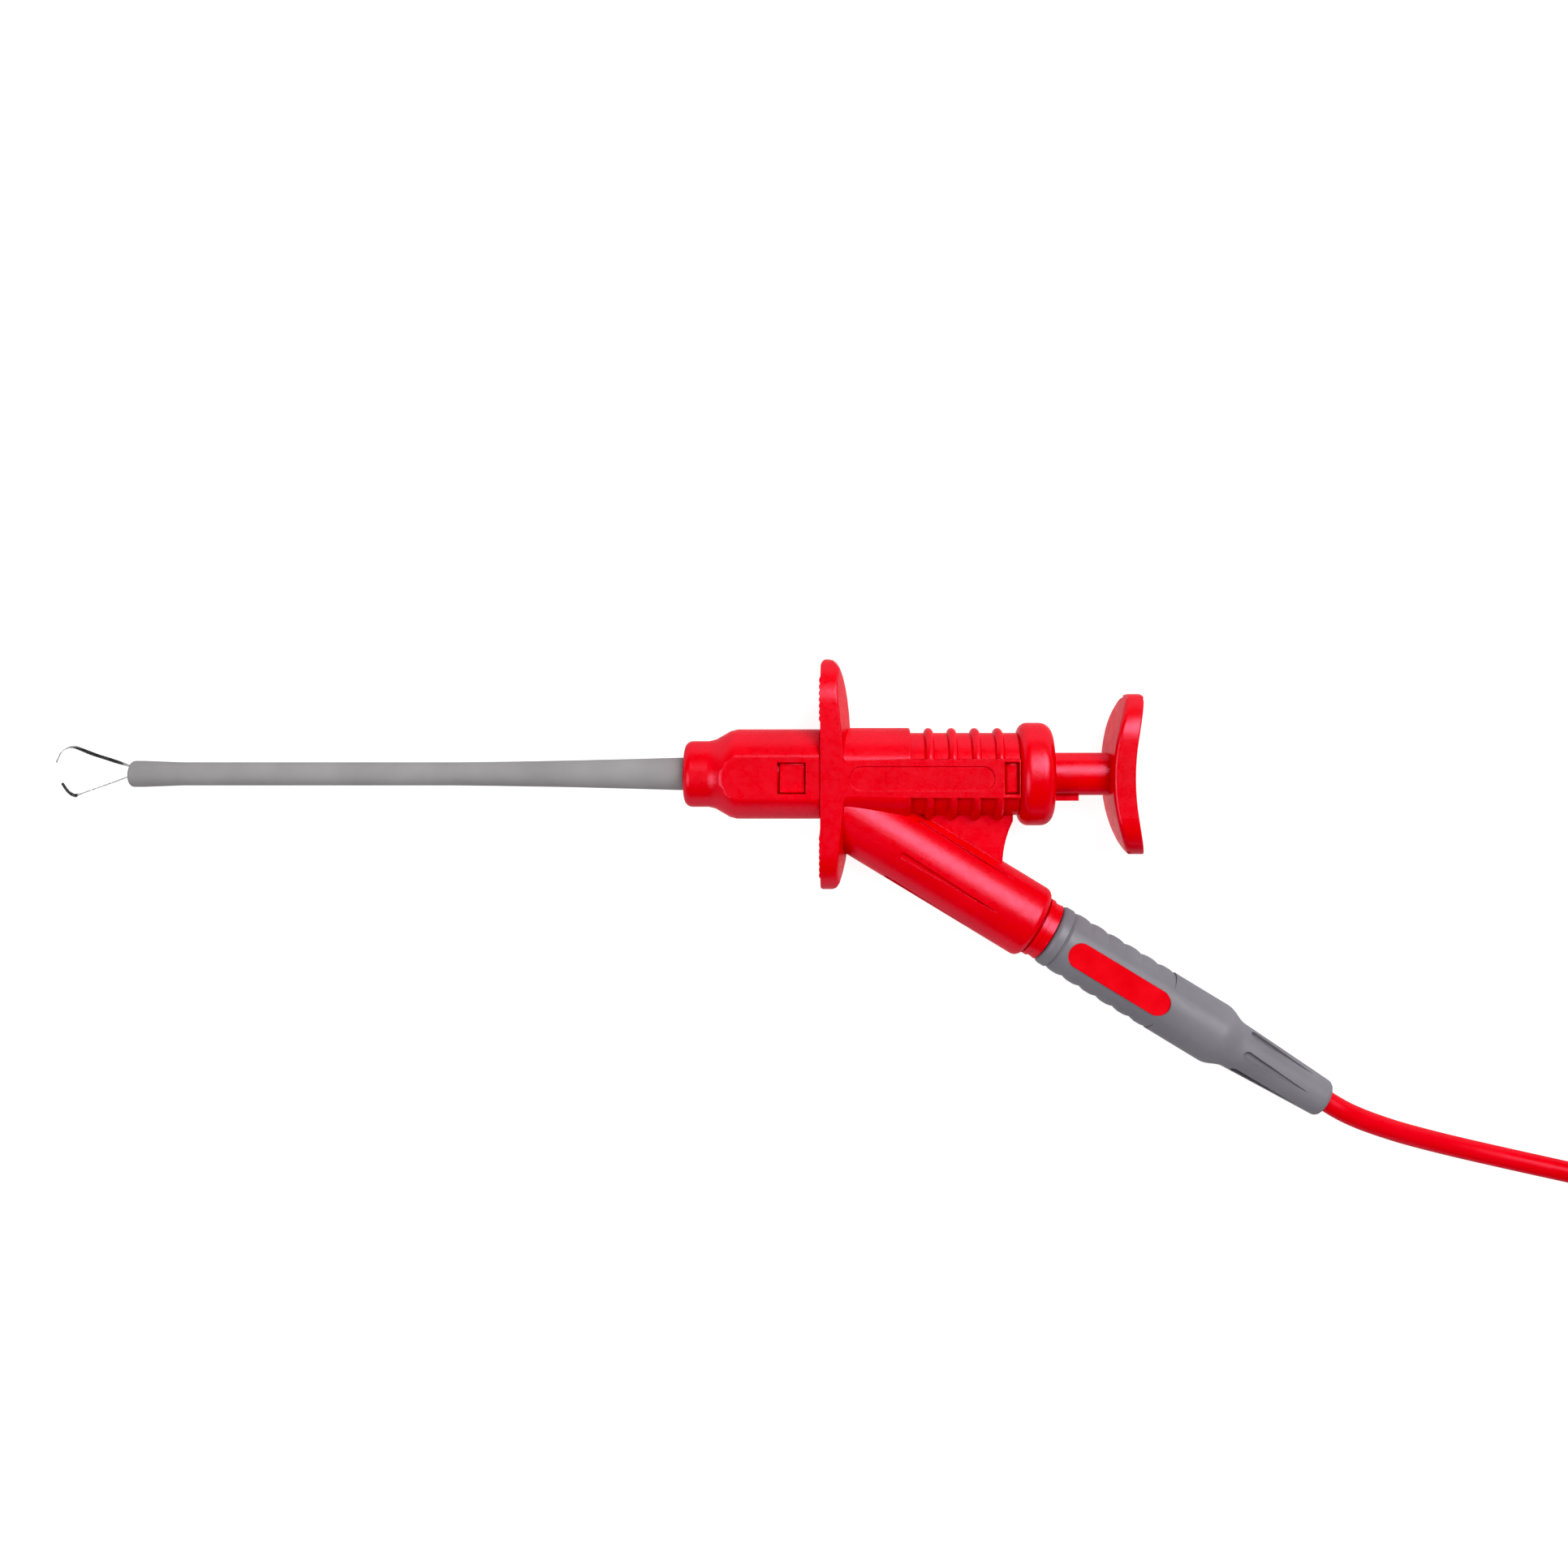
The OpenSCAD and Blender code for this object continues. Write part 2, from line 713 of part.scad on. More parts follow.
module thumb_plunger() {
    color(RED)
        hook_frame()
            difference() {
                union() {
                    rod_x(head_front, head_rear, head_r);
                    rod_x(head_front + 1, pad_front + pad_t / 2, stem_r);
                    block([head_rear, -key_r, -key_w / 2], [cap_rear + key_show, 0, key_w / 2]);
                    thumb_pad();
                }
                rod_x(head_front - 1, rod_rear + pass, rod_r + push);
                rod_x(head_front - 1, head_front + crimp_len + pass, crimp_r + push);
            }
}

// Pad with a round front, a hollow back and round ends
module thumb_pad() {
    intersection() {
        upright_stadium(pad_front - 1, pad_rear + 1, pad_half_h, pad_half_w);
        linear_extrude(2 * pad_half_w, center = true)
            polygon(concat(pad_side, [for (i = [len(pad_side) - 2 : -1 : 1]) [pad_side[i][0], -pad_side[i][1]]]));
    }
}

module pull_rod() {
    color(STEEL)
        hook_frame()
            rod_x(hinge_x + 1.5, rod_rear, rod_r);
}

module rod_crimp() {
    color(BRASS)
        hook_frame()
            difference() {
                rod_x(head_front, head_front + crimp_len, crimp_r);
                rod_x(head_front - 1, head_front + crimp_len + 1, rod_r + push);
            }
}

// Fork on the rod's front end, open to both sides so that the hooks can spread
module jaw_ferrule() {
    slot = strip_w + 2 * push;
    color(STEEL)
        hook_frame()
            difference() {
                rod_x(hinge_x - root_r, hinge_x - root_r + ferrule_len, ferrule_r);
                block([hinge_x - far, -far, -slot], [hinge_x + root_r + push, far, slot]);
                rod_x(hinge_x + 1.5 - push, far, rod_r + push);
            }
}

// Outline of a hook that lies along -X from its root, with its bend towards -Y. With a crank its
// root leans towards the bend.
module hook_outline(end, crank) {
    knee = [-hook_root_depth * cos(crank), -hook_root_depth * sin(crank)];
    straight = hook_straight - hook_root_depth;
    bend_middle = knee + [-straight, -hook_bend_r];
    tip = knee + bend_end(straight, end);
    outer = hook_bend_r + strip_t / 2;
    inner = hook_bend_r - strip_t / 2;
    side = [sin(hook_bend), -cos(hook_bend)] * strip_t / 2;
    circle(r = root_r, $fn = 32);
    rotate(crank)
        translate([-hook_root_depth, -strip_t / 2])
            square([hook_root_depth, strip_t]);
    for (p = [knee, tip])
        translate(p)
            circle(d = strip_t, $fn = 24);
    polygon(concat([knee + [0, strip_t / 2]],
        arc(bend_middle, outer, 90, 90 + hook_bend, 10),
        [tip + [-side[0], -side[1]], tip + side],
        arc(bend_middle, inner, 90 + hook_bend, 90, 10),
        [knee + [0, -strip_t / 2]]));
}

module jaw_upper() {
    color(STEEL)
        hook_frame()
            translate([hinge_x, 0, push])
                rotate(-hook_angle)
                    linear_extrude(strip_w)
                        hook_outline(upper_end, 0);
}

module jaw_lower() {
    color(STEEL)
        hook_frame()
            translate([hinge_x, 0, -push - strip_w])
                rotate(lower_angle)
                    linear_extrude(strip_w)
                        mirror([0, 1])
                            hook_outline(lower_end, lower_crank);
}

// Safety plug, along the socket axis

basket_from = pin_tip + 4;
basket_len = 10;
basket_waist = 0.35;

module pin() {
    tip_round = 0.8;
    difference() {
        turned(concat([[pin_tip, 0]],
            arc([pin_tip + tip_round, pin_r - tip_round], tip_round, 180, 90, 5),
            [[shroud_floor, pin_r], [shroud_floor, pin_root_r], [pin_root, pin_root_r], [pin_root, 0]]));
        difference() {
            rod_x(basket_from, basket_from + basket_len, 2 * pin_r);
            rod_x(basket_from, basket_from + basket_len, pin_r - basket_waist);
        }
    }
}

// Spring basket in the pin's waist, with slits between its leaves
module basket() {
    leaves = 8;
    band = 1.2;
    slit = 0.35;
    inner = pin_r - basket_waist + push;
    outer = contact_bore_r - slide;
    from = basket_from + push;
    to = basket_from + basket_len - push;
    difference() {
        turned([[from, inner], [from, pin_r], [from + band, pin_r], [(from + to) / 2, outer],
            [to - band, pin_r], [to, pin_r], [to, inner]]);
        for (i = [0 : leaves - 1])
            rotate([360 * i / leaves, 0, 0])
                block([from + band, -slit / 2, 0], [to - band, slit / 2, far]);
    }
}

// Shroud, collar and core in one piece, with the inlay boss that shows in the grip's window
module plug_core() {
    lip_len = 0.8;
    groove_len = 0.8;
    collar_front_x = socket_len + 0.2;
    cord_bore_from = grip_front + core_len - cord_start;
    difference() {
        union() {
            turned([[shroud_end, shroud_bore_r], [shroud_end, shroud_r - 0.3],
                [shroud_end + 0.3, shroud_r], [collar_front_x, shroud_r], [collar_front_x, lip_r],
                [collar_front_x + lip_len, lip_r], [collar_front_x + lip_len, groove_r],
                [collar_front_x + lip_len + groove_len, groove_r],
                [grip_front - 0.2, groove_r + 0.1], [grip_front - 0.2, core_r],
                [grip_front + core_len, core_r], [grip_front + core_len, 0], [shroud_floor, 0],
                [shroud_floor, shroud_bore_r]]);
            translate([0, 0, core_r - 1])
                linear_extrude(grip_r - core_r + 1 - 0.3)
                    inlay(0);
        }
        rod_x(pin_tip, pin_root, pin_root_r);
        rod_x(cord_bore_from, far, cord_r);
    }
}

inlay_start = grip_front + 3.1;

module inlay(gap) {
    obround(inlay_start - gap, inlay_start + inlay_len + gap, inlay_w + 2 * gap);
}

module grip() {
    crease = 0.25;
    crease_x = grip_front + 2;
    front_round = 0.8;
    cone_x = grip_front + grip_len;
    relief_x = cone_x + grip_cone_len;
    difference() {
        turned(concat([[grip_front, 0]],
            arc([grip_front + front_round, grip_r - front_round], front_round, 180, 90, 4),
            [[crease_x - crease, grip_r], [crease_x, grip_r - crease], [crease_x + crease, grip_r]],
            [for (i = [0 : 8]) [cone_x + grip_cone_len * i / 8,
                relief_r + (grip_r - relief_r) * (1 + cos(180 * i / 8)) / 2]],
            arc([plug_total - front_round, relief_end_r - front_round], front_round, 90, 0, 4),
            [[plug_total, 0]]));
        rod_x(grip_front - 1, grip_front + core_len + pass, core_r);
        rod_x(grip_front, far, cord_r);
        translate([0, 0, core_r - 1])
            linear_extrude(far)
                inlay(0);
        finger_scallops(crease_x);
        relief_slots(relief_x);
    }
}

// What is cut away outside the finger bumps: rings set off to each side, so that they fade out towards the inlay
module finger_scallops(from) {
    off = 0.7;
    outer_r = grip_r + off;
    bump_r = (pow(scallop_pitch / 2, 2) + pow(scallop_h, 2)) / (2 * scallop_h);
    half_angle = asin(scallop_pitch / 2 / bump_r);
    to = from + scallop_count * scallop_pitch;
    for (side = [-1, 1])
        translate([0, -side * off, 0])
            turned(concat([[from, outer_r + 2]],
                [for (i = [0 : scallop_count - 1])
                    each arc([from + (i + 0.5) * scallop_pitch, outer_r + 0.02 - bump_r], bump_r,
                        90 + half_angle, 90 - half_angle, 6)],
                [[to, outer_r + 2]]));
}

// Tapering slots round the strain relief, with level floors
module relief_slots(relief_x) {
    slot_d = 1.5;
    slot_run = relief_len - 5.3;
    for (i = [0 : 5])
        rotate([60 * i, 0, 0])
            translate([relief_x + slot_d, 0, relief_end_r])
                linear_extrude(far) {
                    circle(d = slot_d);
                    polygon([[0, -slot_d / 2], [slot_run, 0], [0, slot_d / 2]]);
                }
}

module plug_pin() {
    color(STEEL)
        hook_frame()
            socket_frame()
                pin();
}

module pin_spring() {
    color(BRASS)
        hook_frame()
            socket_frame()
                basket();
}

module plug_body() {
    color(RED)
        hook_frame()
            socket_frame()
                plug_core();
}

module plug_grip() {
    color(PURPLE_GREY)
        hook_frame()
            socket_frame()
                grip();
}

module far_plug_pin() {
    color(STEEL)
        far_plug_frame()
            pin();
}

module far_pin_spring() {
    color(BRASS)
        far_plug_frame()
            basket();
}

module far_plug_body() {
    color(RED)
        far_plug_frame()
            plug_core();
}

module far_plug_grip() {
    color(PURPLE_GREY)
        far_plug_frame()
            grip();
}

// Cord

cord_sides = 8;

// Tube along points, with each ring square to the route
module tube(points) {
    last = len(points) - 1;
    rings_skin([for (i = [0 : last])
        let (
            along = points[min(i + 1, last)] - points[max(i - 1, 0)],
            u = along / norm(along),
            v = cross([0, 0, 1], u) / norm(cross([0, 0, 1], u)),
            w = cross(u, v))
        [for (k = [0 : cord_sides - 1])
            let (a = 360 * (k + 0.5) / cord_sides)
            points[i] + cord_r * (v * cos(a) + w * sin(a))]]);
}

// Point on the plug's axis in the table's frame
function plug_point(t) = origin + [t * cos(socket_angle) - socket_cross, -t * sin(socket_angle), 0];

cord_in_plug = grip_front + core_len - cord_start / 2;

module lead_cord() {
    color(RED)
        tube(concat([for (t = [cord_in_plug, (cord_in_plug + plug_total) / 2, plug_total, plug_total + 3])
            plug_point(t)], lead_points, [[coil_middle[0], coil_middle[1] - coil_turn_r, tie_t + cord_r]]));
}

module lead_coil() {
    color(RED)
        translate([coil_middle[0], coil_middle[1], tie_t])
            rotate_extrude()
                translate([coil_inner_r - cord_r, 0])
                    square([coil_turn_r - coil_inner_r + cord_d, 2 * cord_d]);
}

module lead_tail() {
    last_x = far_plug_tail[0];
    tail_y = far_plug_tail[1];
    color(RED)
        tube(concat([[coil_middle[0] + coil_turn_r, coil_middle[1], tie_t + cord_d + cord_r]], tail_points,
            [for (back = [-3, 0, (plug_total - cord_in_plug) / 2, plug_total - cord_in_plug])
                [last_x, tail_y - back, grip_r]]));
}

// Strap round the coil's turns
module coil_tie() {
    inner_x = sqrt(pow(coil_inner_r - cord_r, 2) - pow(tie_w / 2, 2)) - pass;
    outer_x = coil_turn_r + cord_r + pass;
    color("black")
        translate([coil_middle[0], coil_middle[1], 0])
            rotate(tie_angle)
                difference() {
                    block([inner_x - tie_t, -tie_w / 2, 0],
                        [outer_x + tie_t, tie_w / 2, 2 * (cord_d + tie_t)]);
                    block([inner_x, -tie_w, tie_t], [outer_x, tie_w, tie_t + 2 * cord_d]);
                }
}

handle_body();
nose_cap();
end_cap();
shaft_sleeve();
return_spring();
contact_bush();
contact_wire();
socket_contact();
thumb_plunger();
pull_rod();
rod_crimp();
jaw_ferrule();
jaw_upper();
jaw_lower();
plug_pin();
pin_spring();
plug_body();
plug_grip();
lead_cord();
lead_coil();
lead_tail();
coil_tie();
far_plug_pin();
far_pin_spring();
far_plug_body();
far_plug_grip();
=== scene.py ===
"""Looks of a grabber test hook: red moulded handle, grey sleeve, sprung steel hooks and its test lead."""
import json
import math

import bmesh
import bpy
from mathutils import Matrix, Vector


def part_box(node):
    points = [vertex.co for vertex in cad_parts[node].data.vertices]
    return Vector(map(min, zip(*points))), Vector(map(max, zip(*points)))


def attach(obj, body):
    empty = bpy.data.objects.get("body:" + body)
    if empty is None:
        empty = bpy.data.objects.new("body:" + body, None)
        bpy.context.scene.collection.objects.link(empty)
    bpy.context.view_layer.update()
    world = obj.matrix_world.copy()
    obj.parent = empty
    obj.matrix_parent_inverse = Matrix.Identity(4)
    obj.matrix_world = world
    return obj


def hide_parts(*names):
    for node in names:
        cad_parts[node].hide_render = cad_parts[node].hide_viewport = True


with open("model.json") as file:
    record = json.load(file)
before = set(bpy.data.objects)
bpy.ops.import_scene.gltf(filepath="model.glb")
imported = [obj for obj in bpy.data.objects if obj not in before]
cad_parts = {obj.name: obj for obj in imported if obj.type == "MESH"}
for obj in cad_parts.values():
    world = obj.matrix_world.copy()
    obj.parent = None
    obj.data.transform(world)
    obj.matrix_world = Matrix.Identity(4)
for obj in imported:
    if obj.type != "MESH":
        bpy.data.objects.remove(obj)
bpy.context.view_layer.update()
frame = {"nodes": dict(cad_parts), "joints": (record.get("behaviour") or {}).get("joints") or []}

MM = 0.001


def middle(node):
    low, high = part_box(node)
    return (low + high) / 2


def joint(name):
    return next(j for j in frame["joints"] if j["name"] == name)


# Places that the frame gives
NOSE_GAP = 0.05 * MM
shaft = middle("shaft_sleeve")
flange_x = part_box("nose_cap")[1].x + NOSE_GAP
flange_front = Vector((flange_x, shaft.y, shaft.z))
socket_way = Vector(joint("plug_pull")["axis"]).normalized()
on_socket_axis = middle("contact_wire")
cross_x = on_socket_axis.x - (shaft.y - on_socket_axis.y) * socket_way.x / -socket_way.y
socket_cross = Vector((cross_x, shaft.y, shaft.z))


def place_object(name, data):
    made = bpy.data.objects.new(name, data)
    bpy.context.scene.collection.objects.link(made)
    return made


def to_object(name, shape, *materials):
    """Turns a bmesh into an object at the origin, and frees it."""
    data = bpy.data.meshes.new(name)
    shape.to_mesh(data)
    shape.free()
    for material in materials:
        data.materials.append(material)
    return place_object(name, data)


# Camera: straight down from close by, with its lens shifted, so that the flange's rear shows a little

PHOTO_SIDE = 1932
PIXELS_PER_M = 8000
# Where the flange's front and the shaft's axis lie in the photo, in pixels from its left and its top
FLANGE_PX = 1011.5
SHAFT_PX = 953.5
CAMERA_HEIGHT = 240 * MM
SHIFT = (-0.043, -0.12)
SENSOR = 36


def add_camera():
    side = PHOTO_SIDE / PIXELS_PER_M
    right = (PHOTO_SIDE / 2 - FLANGE_PX) / PIXELS_PER_M - SHIFT[0] * side
    up = (SHAFT_PX - PHOTO_SIDE / 2) / PIXELS_PER_M - SHIFT[1] * side
    data = bpy.data.cameras.new("camera")
    data.sensor_width = SENSOR
    data.lens = SENSOR * CAMERA_HEIGHT / side
    data.shift_x, data.shift_y = SHIFT
    data.clip_start = 1 * MM
    data.clip_end = 10
    camera = place_object("camera", data)
    camera.location = (flange_x + right, shaft.y + up, shaft.z + CAMERA_HEIGHT)
    bpy.context.scene.camera = camera


add_camera()


# Materials, all on Object coordinates in metres

def new_material(name, **values):
    material = bpy.data.materials.new(name)
    material.use_nodes = True
    shader = shader_of(material)
    for socket, value in values.items():
        shader.inputs[socket.replace("_", " ")].default_value = value
    return material


def shader_of(material):
    return material.node_tree.nodes["Principled BSDF"]


def add(material, kind, **values):
    """A new node: names of its sockets set their values, and its own properties are set by name."""
    node = material.node_tree.nodes.new("ShaderNode" + kind)
    for name, value in values.items():
        socket = name.replace("_", " ")
        if socket in node.inputs:
            node.inputs[socket].default_value = value
        else:
            setattr(node, name, value)
    return node


def join(material, out_node, out, in_node, into):
    material.node_tree.links.new(out_node.outputs[out], in_node.inputs[into])


def noise(material, scale, detail=3.0):
    where = add(material, "TexCoord")
    texture = add(material, "TexNoise", Scale=scale, Detail=detail, Roughness=0.55)
    join(material, where, "Object", texture, "Vector")
    return texture


def two_tones(material, scale, low_stop, high_stop):
    """Noise turned into a colour that wanders between two; each stop is (place, colour)."""
    tones = add(material, "ValToRGB")
    for element, (place, colour) in zip(tones.color_ramp.elements, (low_stop, high_stop)):
        element.position = place
        element.color = (*colour, 1)
    join(material, noise(material, scale), "Fac", tones, "Fac")
    return tones


def grey(value):
    return (value, value, value)


def mottle(material, scale, dark, light):
    """Slow drift of the base colour, as in a moulded batch."""
    colours = two_tones(material, scale, (0.3, dark), (0.7, light))
    join(material, colours, "Color", shader_of(material), "Base Color")


def gloss_range(material, scale, low, high):
    """Roughness that wanders between two values."""
    greys = two_tones(material, scale, (0.35, grey(low)), (0.65, grey(high)))
    join(material, greys, "Color", shader_of(material), "Roughness")


def grain(material, scale, strength, depth, detail=2.0, edge=0.12 * MM):
    """Fine relief of the surface, on edges that are shaded round by the width given, if any."""
    relief = add(material, "Bump", Strength=strength, Distance=depth)
    join(material, noise(material, scale, detail), "Fac", relief, "Height")
    if edge:
        join(material, add(material, "Bevel", Radius=edge, samples=4), "Normal", relief, "Normal")
    join(material, relief, "Normal", shader_of(material), "Normal")


def surface(name, drift, gloss, relief, **values):
    """A material from the arguments of mottle, gloss_range and grain, and the shader's own values."""
    material = new_material(name, **values)
    mottle(material, *drift)
    gloss_range(material, *gloss)
    grain(material, *relief)
    return material


# Plastics: a low index with a strong tint keeps highlights and takes little of the table at grazing angles
LOW_INDEX = 1.05
RED_SHEEN = (55, 32, 52, 1)
INLAY_SHEEN = (21, 12, 14, 1)
CORD_SHEEN = (28, 16, 25, 1)
SLEEVE_SHEEN = (28, 28, 28, 1)
GRIP_SHEEN = (39, 39, 39, 1)

# Handle and nose cap: red with a spark-eroded mould grain
RED_ERODED = surface("red_eroded", (160, (0.64, 0.003, 0.006), (0.71, 0.004, 0.009)), (900, 0.26, 0.34),
                     (4800, 0.6, 0.035 * MM, 3), IOR=LOW_INDEX, Specular_Tint=RED_SHEEN)
# End cap, plunger and plug collar: the same red from a smoother mould
RED_POLISHED = surface("red_polished", (120, (0.63, 0.003, 0.005), (0.7, 0.004, 0.008)), (500, 0.24, 0.33),
                       (4600, 0.45, 0.03 * MM, 3), IOR=LOW_INDEX, Specular_Tint=RED_SHEEN)
INLAY_RED = surface("inlay_red", (300, (0.66, 0.003, 0.006), (0.76, 0.006, 0.012)), (900, 0.5, 0.62),
                    (3000, 0.15, 0.02 * MM), IOR=LOW_INDEX, Specular_Tint=INLAY_SHEEN)
SLEEVE_GREY = surface("sleeve_grey", (90, (0.235, 0.225, 0.23), (0.29, 0.278, 0.285)), (700, 0.5, 0.62),
                      (3500, 0.18, 0.02 * MM), IOR=LOW_INDEX, Specular_Tint=SLEEVE_SHEEN)
GRIP_GREY = surface("grip_grey", (110, (0.158, 0.15, 0.172), (0.192, 0.183, 0.206)), (900, 0.32, 0.44),
                    (5200, 0.22, 0.02 * MM), IOR=LOW_INDEX, Specular_Tint=GRIP_SHEEN)
CORD_RED = surface("cord_red", (70, (0.62, 0.004, 0.008), (0.7, 0.006, 0.013)), (300, 0.24, 0.34),
                   (1800, 0.1, 0.02 * MM), IOR=LOW_INDEX, Specular_Tint=CORD_SHEEN)
STRIP_STEEL = surface("strip_steel", (700, (0.30, 0.30, 0.31), (0.42, 0.42, 0.43)), (2500, 0.16, 0.26),
                      (6000, 0.05, 0.01 * MM, 2, None), Metallic=1.0)
PIN_NICKEL = surface("pin_nickel", (500, (0.62, 0.60, 0.56), (0.72, 0.70, 0.66)), (2500, 0.14, 0.26),
                     (5000, 0.06, 0.01 * MM), Metallic=1.0)
CONTACT_BRASS = surface("contact_brass", (300, (0.64, 0.44, 0.16), (0.76, 0.56, 0.24)), (1500, 0.24, 0.38),
                        (4000, 0.08, 0.01 * MM), Metallic=1.0)
TIE_WEAVE = surface("tie_weave", (900, (0.012, 0.012, 0.014), (0.03, 0.03, 0.034)), (2500, 0.7, 0.9),
                    (2600, 0.8, 0.1 * MM), IOR=1.4, Sheen_Weight=0.4)


# Lead: out of the near plug, along the table, into a flat coil of two layers and back to the far plug

CORD_D = 3.3 * MM
CORD_R = CORD_D / 2
PLUG_TAIL = 96.6 * MM
CORD_IN_PLUG = 24 * MM
STRAIGHT_OUT = 3 * MM
# Ways of the cord on the table, in millimetres, before and after the coil
LEAD_POINTS = [(116.8, -48.1, 7.35), (119.8, -49.4, 6.6), (123, -50.7, 5.55), (126.6, -52.05, 4.25),
               (130.2, -53.25, 3.2), (134.2, -54.45, 2.35), (138.6, -55.6, 1.85), (142.8, -56.6, 1.65),
               (150.5, -58.3, 1.65), (158.5, -60, 1.7), (166.5, -61.4, 1.85), (175, -62.25, 2.1)]
TAIL_POINTS = [(208, -26, 5.4), (208, -18, 4.4), (208, -10, 3), (208, -4, 2.2), (208, 2, 1.8),
               (209.2, 6.6, 1.7), (212.6, 9.9, 1.7), (217, 11, 1.8), (221.4, 9.9, 2.4), (224.8, 6.6, 3.4)]
COIL_MIDDLE = Vector((184, -38.5, 0)) * MM
COIL_OUTER = 24 * MM
COIL_INNER = 11.2 * MM
COIL_FLOOR = 0.6 * MM
# Each layer of the coil: its turns, and the radius at which it starts and ends
LAYERS = [(3.75, COIL_OUTER, COIL_INNER), (3.5, COIL_INNER, COIL_OUTER)]
POINTS_PER_TURN = 16
CLIMB_TURNS = 0.25
FAR_TAIL = Vector((226 * MM, 0, middle("far_plug_grip").z))


def smooth_step(share):
    share = min(max(share, 0), 1)
    return share * share * (3 - 2 * share)


def coil_points():
    """Turns of the coil: the lower layer winds inwards and climbs at its end, the upper winds outwards."""
    points = []
    angle = math.radians(-90)
    for layer, (turns, start, end) in enumerate(LAYERS):
        steps = round(turns * POINTS_PER_TURN)
        for i in range(layer, steps + 1):
            share = i / steps
            r = start + (end - start) * share
            a = angle + share * turns * math.tau
            climb = 1 if layer else smooth_step((share - 1) * turns / CLIMB_TURNS + 1)
            lift = COIL_FLOOR + CORD_R + climb * CORD_D
            points.append(COIL_MIDDLE + Vector((r * math.cos(a), r * math.sin(a), lift)))
        angle += turns * math.tau
    return points


def lead_route():
    tail = socket_cross + socket_way * PLUG_TAIL
    inside = [tail - socket_way * CORD_IN_PLUG * share for share in (1, 0.5, 0)]
    near = [Vector(p) * MM for p in LEAD_POINTS]
    far = [Vector(p) * MM for p in TAIL_POINTS]
    far_inside = [FAR_TAIL - Vector((0, CORD_IN_PLUG * share, 0)) for share in (0, 0.5, 1)]
    return inside + [tail + socket_way * STRAIGHT_OUT] + near + coil_points() + far + far_inside


def add_lead():
    data = bpy.data.curves.new("lead", "CURVE")
    data.dimensions = "3D"
    data.bevel_depth = CORD_R
    data.bevel_resolution = 4
    data.resolution_u = 4
    data.use_fill_caps = True
    spline = data.splines.new("BEZIER")
    route = lead_route()
    spline.bezier_points.add(len(route) - 1)
    for point, place in zip(spline.bezier_points, route):
        point.co = place
        point.handle_left_type = point.handle_right_type = "AUTO"
    data.materials.append(CORD_RED)
    lead = place_object("lead", data)
    bpy.context.view_layer.update()
    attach(lead, "test_lead")
    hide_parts("lead_cord", "lead_coil", "lead_tail")
    return lead, spline.calc_length()


lead, lead_length = add_lead()


# Floor and light: a glowing white table, a soft light behind on the right and a weaker one opposite

FLOOR_HALF = 3
FLOOR_GREY = (0.25, 0.25, 0.25, 1)
FLOOR_GLOW = 0.9
WHITE = (1, 1, 1, 1)
# Greys of the sky by the sine of the height above the horizon
SKY = [(0.08, 1), (0.16, 0.16), (0.6, 0.05)]
KEY = {"place": (0.3, 0.325, 0.6), "size": 0.5, "power": 6.6}
FILL = {"place": (-0.45, -0.15, 0.6), "size": 0.4, "power": 2.6}
BLACK = 0.009


def add_floor():
    shape = bmesh.new()
    bmesh.ops.create_grid(shape, x_segments=1, y_segments=1, size=FLOOR_HALF)
    material = new_material("floor_white", Base_Color=FLOOR_GREY, Roughness=0.8, Specular_IOR_Level=0.1,
                            Emission_Color=WHITE, Emission_Strength=FLOOR_GLOW)
    to_object("floor", shape, material)


def add_light(name, place, size, power):
    data = bpy.data.lights.new(name, "AREA")
    data.size = size
    data.energy = power
    lamp = place_object(name, data)
    lamp.location = place
    lamp.rotation_euler = (shaft - lamp.location).to_track_quat("-Z", "Y").to_euler()


def add_world():
    """White just above the table's edge and dim overhead, as in a studio with a white wall."""
    world = bpy.data.worlds.new("studio")
    world.use_nodes = True
    tree = world.node_tree
    where = tree.nodes.new("ShaderNodeTexCoord")
    height = tree.nodes.new("ShaderNodeSeparateXYZ")
    greys = tree.nodes.new("ShaderNodeValToRGB")
    greys.color_ramp.elements.new(0.5)
    for element, (place, value) in zip(greys.color_ramp.elements, SKY):
        element.position = place
        element.color = (*grey(value), 1)
    tree.links.new(where.outputs["Generated"], height.inputs["Vector"])
    tree.links.new(height.outputs["Z"], greys.inputs["Fac"])
    tree.links.new(greys.outputs["Color"], tree.nodes["Background"].inputs["Color"])
    bpy.context.scene.world = world


def set_tones():
    """Plain tones with a little black taken off, as in a contrasty product photo."""
    tones = bpy.context.scene.view_settings
    tones.view_transform = "Standard"
    tones.use_curve_mapping = True
    tones.curve_mapping.black_level = grey(BLACK)
    tones.curve_mapping.update()


add_floor()
add_world()
add_light("key", **KEY)
add_light("fill", **FILL)
set_tones()


# Moulded pieces: copies of the CAD nodes, shaded smooth, with the edges that show rounded

SMOOTH_BELOW = math.radians(34)
SHARP_ABOVE = math.radians(16)
FLAT_BELOW = math.radians(0.4)
MERGE = 0.002 * MM
ROUND_STEPS = 3

# Where the shapes that are softened lie, in millimetres from the middle of the flange's front
FLANGE_SPAN = (-0.4, 5.6)
FLANGE_ROOT = 7.4
FLANGE_TIP = 16.6
RIDGED_TO = 1
RIDGES_FROM = 8.3
WEB_SPAN = (20, 31)
WEB_ACROSS = (-15, -6.4)
BAND_SPAN = (4, 12)
BAND_ACROSS = (2.5, 5)
LATCH_TABS = (-19, -1)
CAP_TABS = (27, 29.95)
TAB_HALF = 2.6
TAB_ABOVE = 3.5
TAB_TOP = 0.03
PAD_FROM = 43
PAD_TIP = 11.7
PAD_TIP_MIDDLE = 48.1
STEM_CLEAR = 5

